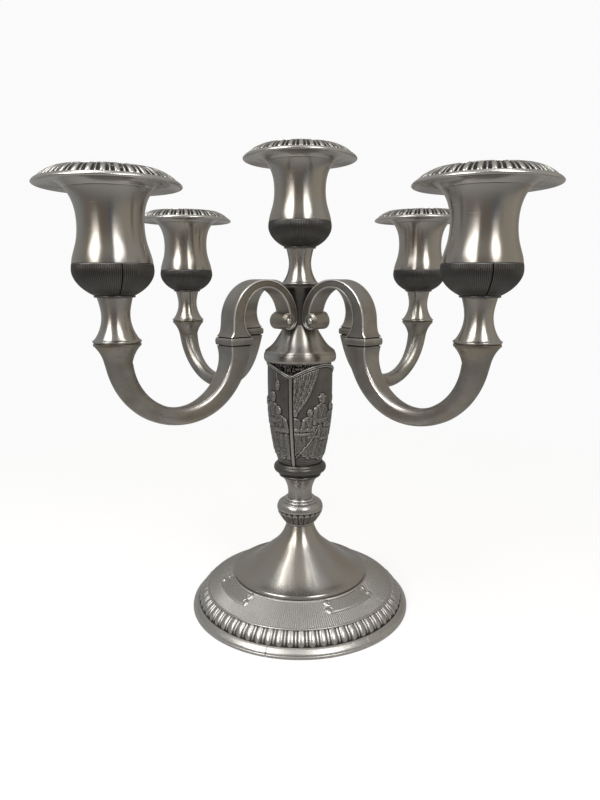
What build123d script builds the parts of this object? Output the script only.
"""Five-light tabletop candelabra in pewter: a round foot, a panelled column and four curved arms.

Frame: millimetres, +Z up, origin at the centre of the foot's underside.
Arm 1 points along +X, and arms 2, 3 and 4 follow at 90 degree steps, anticlockwise from above.
"""
from build123d import *
import os
from math import cos, radians, sin

os.makedirs("parts", exist_ok=True)

# ---------------------------------------------------------------- driving dimensions
# overall
ARM_REACH = 116.4            # column axis to the axis of an arm's cup
ARM_SEAT_Z = 170.8           # face that an arm's cup stands on
CENTRE_SEAT_Z = 196.4        # face that the middle cup stands on
ARM_COUNT = 4

# foot
FOOT_R = 67.0                # outer edge of the foot
FOOT_EDGE_H = 2.4            # upright edge of the foot
RIM_IN_R = 63.5              # plain rim ends, gadroon border begins
RIM_IN_Z = 5.3
BAND_OUT_R = 57.8            # gadroon border ends, textured band begins
BAND_OUT_Z = 12.3
BAND_IN_R = 41.6             # inner edge of the textured band
BAND_IN_Z = 20.6
FOOT_WALL = 2.6

# trumpet, the flared riser on the foot
SKIRT_R = 41.3
SKIRT_Z = BAND_IN_Z
SKIRT_EDGE_H = 1.9
TRUMPET_TOP_Z = 51.2
TRUMPET_TOP_R = 8.5
THROAT_Z = 43.0              # underside of the solid throat

# knop and the neck above it
KNOP_R = 14.1
KNOP_MID_Z = 61.3
KNOP_TOP_Z = 68.2
NECK_WAIST_R = 7.3
NECK_TOP_R = 10.5
NECK_TOP_Z = 81.4

# column
COLLAR_R = 15.4
COLLAR_TOP_Z = 90.8
PANEL_TOP_Z = 152.6          # crown of a panel's arch, under the cap
PANEL_DROP = 6.6             # how much lower the arch stands at the ribs
PANEL_WALL = 1.8
PANEL_COUNT = 3
PANEL_CURVE = [(13.9, COLLAR_TOP_Z), (17.9, 109.0), (19.5, 121.5), (20.1, 138.0), (20.1, PANEL_TOP_Z)]
CAP_RIM_R = 21.4
CAP_TOP_Z = 174.0
CAP_TOP_R = 8.6

# hub between the arms
TURN_GAP = 0.1               # between the cap and the hub that turns on it
HUB_R = 8.2
HUB_FLARE_R = 10.2

# tie rod and its fasteners
ROD_R = 3.0
ROD_TOP_Z = 184.0
ROD_BOTTOM_Z = 33.0
ROD_HOLE_R = ROD_R + 0.05    # running fit in the hub
ROD_CLEAR_R = 3.3
WASHER_R = 8.0
WASHER_H = 1.5
NUT_FLATS = 10.0
NUT_H = 5.0

# arm scroll, drawn in the plane of the arm: x is the distance from the column axis
SCROLL_HALF_WIDTH = 6.0
SCROLL_OUT = (30.3, 177.6, 22.9, 22.1)    # outer ellipse: centre x, centre z, radius x, radius z
SCROLL_IN = (29.6, 178.1, 16.3, 17.2)     # inner ellipse
ROLL_X = 14.2                # the rolled end of the scroll
ROLL_Z = 176.2
ROLL_R = 4.4
CURL_R = 6.6                 # outside of the strip where it curls under the roll
EYE_R = 2.3                  # round boss at the centre of the roll
EYE_H = 0.5

# arm collar and sweep
COLLAR_X = 48.7
COLLAR_HALF = 7.3            # half the side of the square collar
COLLAR_LOW_Z = 165.2
COLLAR_HIGH_Z = 169.3
SWEEP_R = (ARM_REACH - COLLAR_X) / 2
SWEEP_X = (ARM_REACH + COLLAR_X) / 2
SWEEP_Z = 165.4
SEAT_R = 10.7                # rim of the arm's end, under the cup
# angle round the sweep, half thickness in the arm's plane, half thickness across it, corner radius
SWEEP_SECTIONS = [
    (180, 6.8, 6.8, 3.0),
    (192, 5.9, 6.3, 3.2),
    (208, 5.3, 5.9, 3.6),
    (230, 5.0, 5.6, 4.0),
    (255, 4.6, 5.3, 4.2),
    (280, 4.4, 5.0, 4.2),
    (305, 4.9, 5.0, 4.7),
    (330, 5.6, 5.6, 5.4),
    (352, 6.4, 6.4, 6.2),
]

# cup unit: heights are above its own seat
FOOT_RING_R = 11.0
WAIST_R = 6.45
BOWL_LOW_Z = 20.6
BOWL_RING_R = 9.2
BOWL_R = 18.1
CUP_LOW_Z = 35.5
CUP_LOW_R = 17.7
CUP_WAIST_R = 14.55
CUP_WAIST_Z = 52.8
CUP_LIP_R = 19.0
CUP_TOP_Z = 67.2
CUP_WALL = 1.3
BOWL_WALL = 1.6

# drip pan with its candle socket
PAN_R = 32.0
PAN_RIM_Z = 69.3
PAN_CREST_R = 23.6
PAN_CREST_Z = 75.0
PAN_DISH_Z = 70.5            # lowest part of the dish round the socket
CANDLE_R = 11.25
SOCKET_LIP_Z = 71.6
SOCKET_DEPTH = 24.0
SOCKET_OUT_R = 12.75

# cup screw
SCREW_R = 2.4
SCREW_CLEAR_R = 2.7
SCREW_HEAD_R = 4.6
SCREW_HEAD_H = 2.6
SCREW_DEPTH = 9.0            # how far it reaches below the seat


# ---------------------------------------------------------------- helpers
def save(name, shape):
    """Write one node."""
    solids = shape.solids()
    export_step(solids[0] if len(solids) == 1 else Compound(children=list(solids)), f"parts/{name}.step")


def turned(*edges):
    """Spin a closed outline, drawn as (radius, height), about the Z axis."""
    outline = Plane.XZ * make_face(Curve() + list(edges))
    return revolve(outline, Axis.Z)


def rod(radius, low, high):
    """An upright cylinder on the Z axis between two heights."""
    return Pos(0, 0, low) * Cylinder(radius, high - low, align=(Align.CENTER, Align.CENTER, Align.MIN))


# ---------------------------------------------------------------- foot
def foot_ring():
    """Cast foot: plain rim, gadroon border and sloping textured band, hollow underneath."""
    rim_low = FOOT_R - 0.9
    outside = [
        Line((FOOT_R - FOOT_WALL, 0), (FOOT_R, 0)),
        Line((FOOT_R, 0), (FOOT_R, FOOT_EDGE_H)),
        Line((FOOT_R, FOOT_EDGE_H), (rim_low, FOOT_EDGE_H + 0.9)),
        Line((rim_low, FOOT_EDGE_H + 0.9), (RIM_IN_R, RIM_IN_Z)),
        ThreePointArc((RIM_IN_R, RIM_IN_Z), (61.9, 9.8), (BAND_OUT_R, BAND_OUT_Z)),
        Line((BAND_OUT_R, BAND_OUT_Z), (BAND_IN_R, BAND_IN_Z)),
        Line((BAND_IN_R, BAND_IN_Z), (BAND_IN_R - 4.0, BAND_IN_Z)),
    ]
    inside = [
        Line((BAND_IN_R - 4.0, BAND_IN_Z), (BAND_IN_R - 4.0, BAND_IN_Z - FOOT_WALL)),
        Line((BAND_IN_R - 4.0, BAND_IN_Z - FOOT_WALL), (BAND_OUT_R - 1.0, BAND_OUT_Z - FOOT_WALL - 0.6)),
        Line((BAND_OUT_R - 1.0, BAND_OUT_Z - FOOT_WALL - 0.6), (FOOT_R - FOOT_WALL, 0)),
    ]
    return turned(*outside, *inside)


def trumpet():
    """Turned trumpet: a thin skirt that sweeps up into a solid throat."""
    edge = SKIRT_Z + SKIRT_EDGE_H
    outer = Spline((SKIRT_R, edge), (33.0, 25.2), (22.0, 33.6), (12.3, 42.6), (TRUMPET_TOP_R, TRUMPET_TOP_Z),
                   tangents=[(-1, 0.12), (-0.25, 1)])
    inner = Spline((WASHER_R + 1.2, THROAT_Z - 4), (20.5, 31.2), (32.0, 22.8), (SKIRT_R - 3.0, SKIRT_Z),
                   tangents=[(0.6, -1), (1, -0.2)])
    shell = turned(
        outer,
        Line((TRUMPET_TOP_R, TRUMPET_TOP_Z), (ROD_CLEAR_R, TRUMPET_TOP_Z)),
        Line((ROD_CLEAR_R, TRUMPET_TOP_Z), (ROD_CLEAR_R, THROAT_Z)),
        Line((ROD_CLEAR_R, THROAT_Z), (WASHER_R + 0.4, THROAT_Z)),
        Line((WASHER_R + 0.4, THROAT_Z), (WASHER_R + 1.2, THROAT_Z - 4)),
        inner,
        Line((SKIRT_R - 3.0, SKIRT_Z), (SKIRT_R, SKIRT_Z)),
        Line((SKIRT_R, SKIRT_Z), (SKIRT_R, edge)),
    )
    return shell


# ---------------------------------------------------------------- column
def knop():
    """Ball knop: stepped on top, round in the middle, drawn in below."""
    return turned(
        Line((ROD_CLEAR_R, TRUMPET_TOP_Z), (8.7, TRUMPET_TOP_Z)),
        Line((8.7, TRUMPET_TOP_Z), (8.9, 52.4)),
        Spline((8.9, 52.4), (11.4, 55.0), (KNOP_R, KNOP_MID_Z), (11.9, 66.0), tangents=[(1, 0.5), (-1, 0.45)]),
        Line((11.9, 66.0), (9.6, 66.6)),
        Line((9.6, 66.6), (9.3, KNOP_TOP_Z)),
        Line((9.3, KNOP_TOP_Z), (ROD_CLEAR_R, KNOP_TOP_Z)),
        Line((ROD_CLEAR_R, KNOP_TOP_Z), (ROD_CLEAR_R, TRUMPET_TOP_Z)),
    )


def lower_neck():
    """Turned neck that opens upwards from the knop to the column."""
    return turned(
        Line((ROD_CLEAR_R, KNOP_TOP_Z), (7.6, KNOP_TOP_Z)),
        Spline((7.6, KNOP_TOP_Z), (NECK_WAIST_R, 71.0), (8.2, 76.6), (NECK_TOP_R, NECK_TOP_Z)),
        Line((NECK_TOP_R, NECK_TOP_Z), (ROD_CLEAR_R, NECK_TOP_Z)),
        Line((ROD_CLEAR_R, NECK_TOP_Z), (ROD_CLEAR_R, KNOP_TOP_Z)),
    )


def column_collar():
    """Stepped collar under the panels."""
    return turned(
        Polyline((ROD_CLEAR_R, NECK_TOP_Z), (11.2, NECK_TOP_Z), (12.7, 82.9), (12.9, 84.6), (COLLAR_R, 85.6)),
        ThreePointArc((COLLAR_R, 85.6), (COLLAR_R + 0.5, 87.4), (COLLAR_R, 89.2)),
        Polyline((COLLAR_R, 89.2), (14.3, COLLAR_TOP_Z), (ROD_CLEAR_R, COLLAR_TOP_Z), (ROD_CLEAR_R, NECK_TOP_Z)),
    )


def panel_curve(inset):
    """The column's outline, moved inwards by inset."""
    return Spline(*[(x - inset, z) for x, z in PANEL_CURVE], tangents=[(0.35, 1), (0, 1)])


def column_core():
    """Grained sleeve behind the panels, hollow round the tie rod."""
    low_r = PANEL_CURVE[0][0] - PANEL_WALL
    high_r = PANEL_CURVE[-1][0] - PANEL_WALL
    return turned(
        panel_curve(PANEL_WALL),
        Polyline((high_r, PANEL_TOP_Z), (ROD_CLEAR_R, PANEL_TOP_Z), (ROD_CLEAR_R, PANEL_TOP_Z - 3.0),
                 (high_r - 3.0, PANEL_TOP_Z - 3.0), (low_r - 3.0, COLLAR_TOP_Z + 3.0),
                 (ROD_CLEAR_R, COLLAR_TOP_Z + 3.0), (ROD_CLEAR_R, COLLAR_TOP_Z), (low_r, COLLAR_TOP_Z)),
    )


def column_panel(turn):
    """One cast panel: a third of the column's shell with an arched top."""
    shell = turned(
        panel_curve(0),
        Line((PANEL_CURVE[-1][0], PANEL_TOP_Z), (PANEL_CURVE[-1][0] - PANEL_WALL, PANEL_TOP_Z)),
        panel_curve(PANEL_WALL),
        Line((PANEL_CURVE[0][0] - PANEL_WALL, COLLAR_TOP_Z), (PANEL_CURVE[0][0], COLLAR_TOP_Z)),
    )
    half = 180 / PANEL_COUNT
    reach = 2 * CAP_RIM_R
    wedge_plan = Polyline((0, 0), (reach * cos(radians(half)), -reach * sin(radians(half))), (reach * 2, 0),
                          (reach * cos(radians(half)), reach * sin(radians(half))), (0, 0))
    wedge = Pos(0, 0, COLLAR_TOP_Z) * extrude(make_face(wedge_plan), PANEL_TOP_Z - COLLAR_TOP_Z)
    half_chord = PANEL_CURVE[-1][0] * sin(radians(half))
    arch_r = (half_chord ** 2 + PANEL_DROP ** 2) / (2 * PANEL_DROP)
    arch_z = PANEL_TOP_Z - arch_r
    arch = Pos(reach / 2, 0, arch_z) * Rot(0, 90, 0) * Cylinder(arch_r, reach)
    below = Pos(reach / 2, 0, arch_z / 2) * Box(reach, 2 * reach, arch_z)
    return Rot(0, 0, turn) * (shell & wedge & (arch + below))


def column_cap():
    """Turned cap: a rounded rim over the panels, drawn up into a slim neck."""
    return turned(
        Line((ROD_CLEAR_R, PANEL_TOP_Z), (20.7, PANEL_TOP_Z)),
        Spline((20.7, PANEL_TOP_Z), (CAP_RIM_R, 155.2), (20.6, 158.6), tangents=[(0.8, 1), (-1, 0.9)]),
        Spline((20.6, 158.6), (16.2, 162.4), (12.6, 167.6), (CAP_TOP_R, CAP_TOP_Z)),
        Line((CAP_TOP_R, CAP_TOP_Z), (ROD_CLEAR_R, CAP_TOP_Z)),
        Line((ROD_CLEAR_R, CAP_TOP_Z), (ROD_CLEAR_R, PANEL_TOP_Z)),
    )


# ---------------------------------------------------------------- tie rod and fasteners
def tie_rod():
    """Rod that holds foot, column and hub on one axis."""
    return rod(ROD_R, ROD_BOTTOM_Z, ROD_TOP_Z)


def foot_washer():
    """Washer under the trumpet's throat."""
    return rod(WASHER_R, THROAT_Z - WASHER_H, THROAT_Z) - rod(ROD_R, THROAT_Z - WASHER_H, THROAT_Z)


def foot_nut():
    """Hexagon nut on the lower end of the tie rod."""
    top = THROAT_Z - WASHER_H
    hexagon = extrude(RegularPolygon(NUT_FLATS / 2, 6, major_radius=False), NUT_H)
    return Pos(0, 0, top - NUT_H) * hexagon - rod(ROD_R, top - NUT_H, top)


# ---------------------------------------------------------------- branch: hub, scrolls and sweeps
def arm_hub():
    """Spindle between the arms, with a flare that carries the middle cup."""
    low = CAP_TOP_Z + TURN_GAP
    body = turned(
        Polyline((0, ROD_TOP_Z + 0.5), (ROD_HOLE_R, ROD_TOP_Z + 0.5), (ROD_HOLE_R, low), (HUB_R, low),
                 (HUB_R, 186.0), (HUB_FLARE_R, 195.0), (HUB_FLARE_R, CENTRE_SEAT_Z), (0, CENTRE_SEAT_Z),
                 (0, ROD_TOP_Z + 0.5)),
    )
    return body - rod(SCREW_R, CENTRE_SEAT_Z - SCREW_DEPTH, CENTRE_SEAT_Z)


def half_plane(low_x, high_x, low_z, high_z):
    """A plain rectangle in the plane of an arm."""
    return Pos((low_x + high_x) / 2, (low_z + high_z) / 2) * Rectangle(high_x - low_x, high_z - low_z)


def scroll_outline():
    """Side view of a scroll: half an elliptical ring with a rolled end at the hub."""
    out_x, out_z, out_rx, out_rz = SCROLL_OUT
    in_x, in_z, in_rx, in_rz = SCROLL_IN
    ring = Pos(out_x, out_z) * Ellipse(out_rx, out_rz) - Pos(in_x, in_z) * Ellipse(in_rx, in_rz)
    ring &= half_plane(0, 2 * out_x, in_z, out_z + out_rz + 1)
    curl = Pos(ROLL_X, in_z) * Circle(CURL_R) & half_plane(0, ROLL_X, 0, in_z)
    return ring + curl + Pos(ROLL_X, ROLL_Z) * Circle(ROLL_R)


def arm_scroll():
    """Upper half of an arm: a square strip that rolls up at the hub and flares into the collar."""
    strip = extrude(Plane.XZ * scroll_outline(), SCROLL_HALF_WIDTH, both=True)
    in_x, in_z, in_rx, _ = SCROLL_IN
    out_x, _, out_rx, _ = SCROLL_OUT
    low_edge, high_edge = in_x + in_rx, out_x + out_rx
    flare = loft([
        Pos((low_edge + high_edge) / 2, 0, in_z + 1.5) * Rectangle(high_edge - low_edge, 2 * SCROLL_HALF_WIDTH),
        Pos(49.3, 0, 173.6) * Rectangle(9.0, 12.6),
        Pos(COLLAR_X, 0, COLLAR_HIGH_Z) * Rectangle(2 * COLLAR_HALF - 1.0, 2 * COLLAR_HALF - 1.0),
    ])
    eye = Pos(ROLL_X, 0, ROLL_Z) * Rot(90, 0, 0) * Cylinder(EYE_R, 2 * (SCROLL_HALF_WIDTH + EYE_H))
    return strip + flare + eye - rod(HUB_R, CAP_TOP_Z, CENTRE_SEAT_Z)


def sweep_section(angle, half_in_plane, half_across, corner):
    """A rounded section standing across the sweep at one angle of its arc."""
    turn = radians(angle)
    centre = (SWEEP_X + SWEEP_R * cos(turn), 0, SWEEP_Z + SWEEP_R * sin(turn))
    plane = Plane(origin=centre, x_dir=(cos(turn), 0, sin(turn)), z_dir=(-sin(turn), 0, cos(turn)))
    corner = min(corner, 0.98 * min(half_in_plane, half_across))
    return plane * RectangleRounded(2 * half_in_plane, 2 * half_across, corner)


def arm_sweep():
    """Lower half of an arm: square collar, round sweep and the flared seat for the cup."""
    side = 2 * COLLAR_HALF
    mid_z = (COLLAR_LOW_Z + COLLAR_HIGH_Z) / 2
    collar = loft([
        Pos(COLLAR_X, 0, COLLAR_LOW_Z) * Rectangle(side - 1.2, side - 1.2),
        Pos(COLLAR_X, 0, mid_z) * Rectangle(side, side),
        Pos(COLLAR_X, 0, COLLAR_HIGH_Z) * Rectangle(side - 1.2, side - 1.2),
    ])
    bend = loft([sweep_section(*row) for row in SWEEP_SECTIONS])
    seat = Pos(ARM_REACH, 0, 0) * turned(
        Line((0, 158.6), (6.2, 158.6)),
        Spline((6.2, 158.6), (7.2, 163.6), (8.9, 167.4), (SEAT_R, 169.7)),
        Line((SEAT_R, 169.7), (SEAT_R, ARM_SEAT_Z)),
        Line((SEAT_R, ARM_SEAT_Z), (0, ARM_SEAT_Z)),
        Line((0, ARM_SEAT_Z), (0, 158.6)),
    )
    screw_hole = Pos(ARM_REACH, 0, 0) * rod(SCREW_R, ARM_SEAT_Z - SCREW_DEPTH, ARM_SEAT_Z)
    return collar + bend + seat - screw_hole


# ---------------------------------------------------------------- cup units, on their own seat
def cup_neck():
    """Turned neck: a ring at the foot, drawn in to a waist."""
    return turned(
        Line((SCREW_CLEAR_R, 0), (FOOT_RING_R - 0.5, 0)),
        ThreePointArc((FOOT_RING_R - 0.5, 0), (FOOT_RING_R, 0.9), (FOOT_RING_R - 0.5, 1.8)),
        Spline((FOOT_RING_R - 0.5, 1.8), (7.6, 6.2), (WAIST_R, 12.2), (7.9, BOWL_LOW_Z)),
        Line((7.9, BOWL_LOW_Z), (SCREW_CLEAR_R, BOWL_LOW_Z)),
        Line((SCREW_CLEAR_R, BOWL_LOW_Z), (SCREW_CLEAR_R, 0)),
    )


def cup_bowl():
    """Ribbed bowl under the cup, hollow, with a small ring at its bottom."""
    ring_top = BOWL_LOW_Z + 1.0
    inner_low = BOWL_LOW_Z + BOWL_WALL + 0.6
    return turned(
        Line((SCREW_CLEAR_R, BOWL_LOW_Z), (BOWL_RING_R, BOWL_LOW_Z)),
        Line((BOWL_RING_R, BOWL_LOW_Z), (BOWL_RING_R, ring_top)),
        Spline((BOWL_RING_R, ring_top), (14.6, 25.4), (BOWL_R, 32.6), (BOWL_R - 0.2, CUP_LOW_Z),
               tangents=[(1, 0.5), (-0.12, 1)]),
        Line((BOWL_R - 0.2, CUP_LOW_Z), (BOWL_R - BOWL_WALL, CUP_LOW_Z)),
        Spline((BOWL_R - BOWL_WALL, CUP_LOW_Z), (BOWL_R - BOWL_WALL, 32.4), (9.0, inner_low),
               tangents=[(0, -1), (-1, -0.3)]),
        Line((9.0, inner_low), (SCREW_CLEAR_R, inner_low)),
        Line((SCREW_CLEAR_R, inner_low), (SCREW_CLEAR_R, BOWL_LOW_Z)),
    )


def cup_body():
    """Turned cup: a closed floor, a drawn-in waist and a flared lip."""
    floor_top = CUP_LOW_Z + CUP_WALL
    lip_in = CUP_LIP_R - CUP_WALL - 0.4
    outer = Spline((CUP_LOW_R, CUP_LOW_Z), (15.6, 44.0), (CUP_WAIST_R, CUP_WAIST_Z), (15.9, 61.8),
                   (CUP_LIP_R, CUP_TOP_Z), tangents=[(-0.12, 1), (1, 1)])
    inner = Spline((lip_in, CUP_TOP_Z), (15.0, 63.0), (CUP_WAIST_R - CUP_WALL, CUP_WAIST_Z), (14.3, 44.0),
                   (CUP_LOW_R - CUP_WALL, floor_top), tangents=[(-1, -1), (0.2, -1)])
    return turned(
        outer,
        Line((CUP_LIP_R, CUP_TOP_Z), (lip_in, CUP_TOP_Z)),
        inner,
        Line((CUP_LOW_R - CUP_WALL, floor_top), (SCREW_CLEAR_R, floor_top)),
        Line((SCREW_CLEAR_R, floor_top), (SCREW_CLEAR_R, CUP_LOW_Z)),
        Line((SCREW_CLEAR_R, CUP_LOW_Z), (CUP_LOW_R, CUP_LOW_Z)),
    )


def cup_screw():
    """Screw through the cup's floor, the bowl and the neck into the arm."""
    head_low = CUP_LOW_Z + CUP_WALL + TURN_GAP
    shank = rod(SCREW_R, -SCREW_DEPTH, head_low)
    head = rod(SCREW_HEAD_R, head_low, head_low + SCREW_HEAD_H)
    slot = Pos(0, 0, head_low + SCREW_HEAD_H) * Box(2 * SCREW_HEAD_R, 1.0, 2.0)
    return shank + head - slot


def drip_pan():
    """Drip pan with a raised border, and the candle socket that drops into the cup."""
    socket_low = SOCKET_LIP_Z - SOCKET_DEPTH
    floor = socket_low - 1.2
    return turned(
        Polyline((0, floor), (SOCKET_OUT_R - 1.5, floor), (SOCKET_OUT_R, floor + 1.5), (SOCKET_OUT_R, CUP_TOP_Z),
                 (CUP_LIP_R + 0.6, CUP_TOP_Z), (CUP_LIP_R + 2.2, PAN_RIM_Z)),
        Spline((CUP_LIP_R + 2.2, PAN_RIM_Z), (26.2, PAN_RIM_Z + 0.9), (PAN_R - 0.8, PAN_RIM_Z - 1.0),
               tangents=[(1, 0.6), (1, -0.6)]),
        ThreePointArc((PAN_R - 0.8, PAN_RIM_Z - 1.0), (PAN_R, PAN_RIM_Z - 0.3), (PAN_R - 0.5, PAN_RIM_Z + 0.4)),
        Spline((PAN_R - 0.5, PAN_RIM_Z + 0.4), (28.6, PAN_RIM_Z + 3.1), (PAN_CREST_R, PAN_CREST_Z),
               (20.6, PAN_CREST_Z - 1.4), tangents=[(-1, 0.75), (-0.6, -1)]),
        Spline((20.6, PAN_CREST_Z - 1.4), (17.6, PAN_DISH_Z + 0.5), (14.2, PAN_DISH_Z),
               tangents=[(-0.6, -1), (-1, 0.1)]),
        Polyline((14.2, PAN_DISH_Z), (13.4, SOCKET_LIP_Z), (CANDLE_R, SOCKET_LIP_Z), (CANDLE_R, socket_low),
                 (0, socket_low), (0, floor)),
    )


# ---------------------------------------------------------------- write the nodes
save("foot_ring", foot_ring())
save("trumpet", trumpet())
save("knop", knop())
save("lower_neck", lower_neck())
save("column_collar", column_collar())
save("column_core", column_core())
save("column_cap", column_cap())
save("tie_rod", tie_rod())
save("foot_washer", foot_washer())
save("foot_nut", foot_nut())
for number in range(PANEL_COUNT):
    save(f"column_panel_{number + 1}", column_panel(number * 360 / PANEL_COUNT))

save("arm_hub", arm_hub())
scroll, sweep_half = arm_scroll(), arm_sweep()
seats = {"centre": Pos(0, 0, CENTRE_SEAT_Z)}
for number in range(ARM_COUNT):
    turn = Rot(0, 0, number * 360 / ARM_COUNT)
    save(f"arm_scroll_{number + 1}", turn * scroll)
    save(f"arm_sweep_{number + 1}", turn * sweep_half)
    seats[str(number + 1)] = turn * Pos(ARM_REACH, 0, ARM_SEAT_Z)

cup_pieces = {
    "cup_neck": cup_neck(),
    "cup_bowl": cup_bowl(),
    "cup_body": cup_body(),
    "cup_screw": cup_screw(),
    "drip_pan": drip_pan(),
}
for place, seat in seats.items():
    for name, piece in cup_pieces.items():
        save(f"{name}_{place}", seat * piece)
